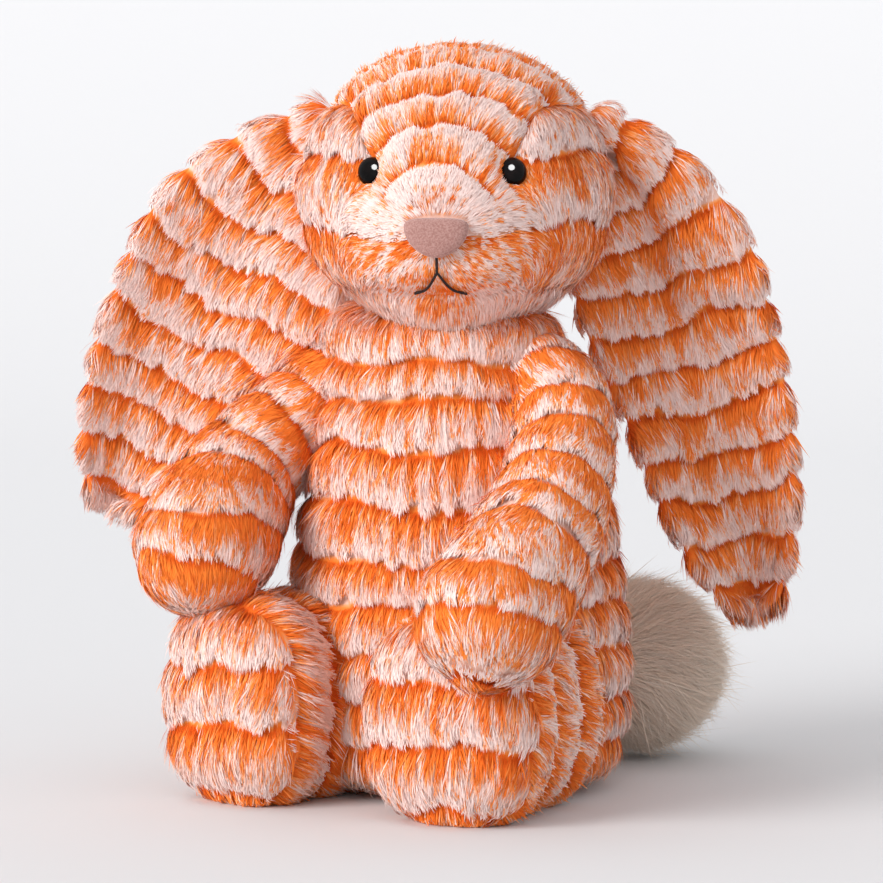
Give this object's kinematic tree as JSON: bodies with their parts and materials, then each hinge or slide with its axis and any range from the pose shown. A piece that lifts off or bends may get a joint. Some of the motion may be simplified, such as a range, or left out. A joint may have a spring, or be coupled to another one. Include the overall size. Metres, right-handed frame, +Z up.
{
  "type": "plush bunny",
  "caption": "Seated plush bunny with long hanging ears, tiered two-tone fur, safety eyes and a pile tail, sewn from stuffed limbs that swing at their seams",
  "frame": {"origin": "on the flat seat, under the middle of the body", "axes": "+Z up, the bunny's body faces -Y, its own left is +X"},
  "size_m": [0.1902, 0.1823, 0.202],
  "materials": {
    "striped_fur": "soft pile, orange at the root and pale pink at the tip of each tier",
    "cream_fur": "long cream pile",
    "fibre_fill": "loose polyester fibre",
    "pouch_cloth": "plain woven bag of pellets",
    "eye_plastic": "polished black",
    "washer_plastic": "moulded natural plastic",
    "nose_velour": "short dusty pink velour",
    "mouth_thread": "black embroidery thread"
  },
  "bodies": {
    "torso": {"body_cover": "striped_fur", "body_stuffing": "fibre_fill", "bean_pouch": "pouch_cloth"},
    "neck": {"neck_stuffing": "fibre_fill"},
    "head": {"head_cover": "striped_fur", "head_stuffing": "fibre_fill", "left_eye": "eye_plastic", "right_eye": "eye_plastic", "left_eye_washer": "washer_plastic", "right_eye_washer": "washer_plastic", "nose": "nose_velour", "mouth_stitch": "mouth_thread"},
    "left_ear": {"left_ear_front": "striped_fur", "left_ear_back": "striped_fur"},
    "right_ear": {"right_ear_front": "striped_fur", "right_ear_back": "striped_fur"},
    "left_arm": {"left_arm_cover": "striped_fur", "left_arm_stuffing": "fibre_fill"},
    "right_arm": {"right_arm_cover": "striped_fur", "right_arm_stuffing": "fibre_fill"},
    "left_leg": {"left_leg_cover": "striped_fur", "left_leg_stuffing": "fibre_fill", "left_sole": "striped_fur"},
    "right_leg": {"right_leg_cover": "striped_fur", "right_leg_stuffing": "fibre_fill", "right_sole": "striped_fur"},
    "tail": {"tail_cover": "cream_fur", "tail_stuffing": "fibre_fill"}
  },
  "joints": [
    {"name": "head_turn", "type": "hinge", "parent": "torso", "child": "neck", "pos_m": [0, 0, 0.162], "axis": [0, 0, 1], "range_deg": [-30, 10], "stiffness_Nm_per_rad": 0.2},
    {"name": "head_nod", "type": "hinge", "parent": "neck", "child": "head", "pos_m": [0, 0, 0.162], "axis": [0.9205, 0.3907, 0], "range_deg": [-8, 12], "stiffness_Nm_per_rad": 0.3},
    {"name": "left_ear_lift", "type": "hinge", "parent": "head", "child": "left_ear", "pos_m": [0.03079, 0.01959, 0.177], "axis": [0.3907, -0.9205, 0], "range_deg": [0, 75]},
    {"name": "right_ear_lift", "type": "hinge", "parent": "head", "child": "right_ear", "pos_m": [-0.03548, -0.00854, 0.177], "axis": [-0.3907, 0.9205, 0], "range_deg": [0, 60]},
    {"name": "left_arm_swing", "type": "hinge", "parent": "torso", "child": "left_arm", "pos_m": [0.03585, -0.00732, 0.105], "axis": [-1, 0, 0], "range_deg": [0, 75]},
    {"name": "right_arm_swing", "type": "hinge", "parent": "torso", "child": "right_arm", "pos_m": [-0.03585, -0.00732, 0.105], "axis": [-1, 0, 0], "range_deg": [0, 75]},
    {"name": "left_leg_swing", "type": "hinge", "parent": "torso", "child": "left_leg", "pos_m": [0.027, -0.02, 0.0265], "axis": [1, 0, 0], "range_deg": [0, 25]},
    {"name": "right_leg_swing", "type": "hinge", "parent": "torso", "child": "right_leg", "pos_m": [-0.027, -0.02, 0.0265], "axis": [1, 0, 0], "range_deg": [0, 25]},
    {"name": "tail_wag", "type": "hinge", "parent": "torso", "child": "tail", "pos_m": [0.01288, 0.04313, 0.027], "axis": [0, 0, 1], "range_deg": [-15, 15], "stiffness_Nm_per_rad": 0.02}
  ]
}
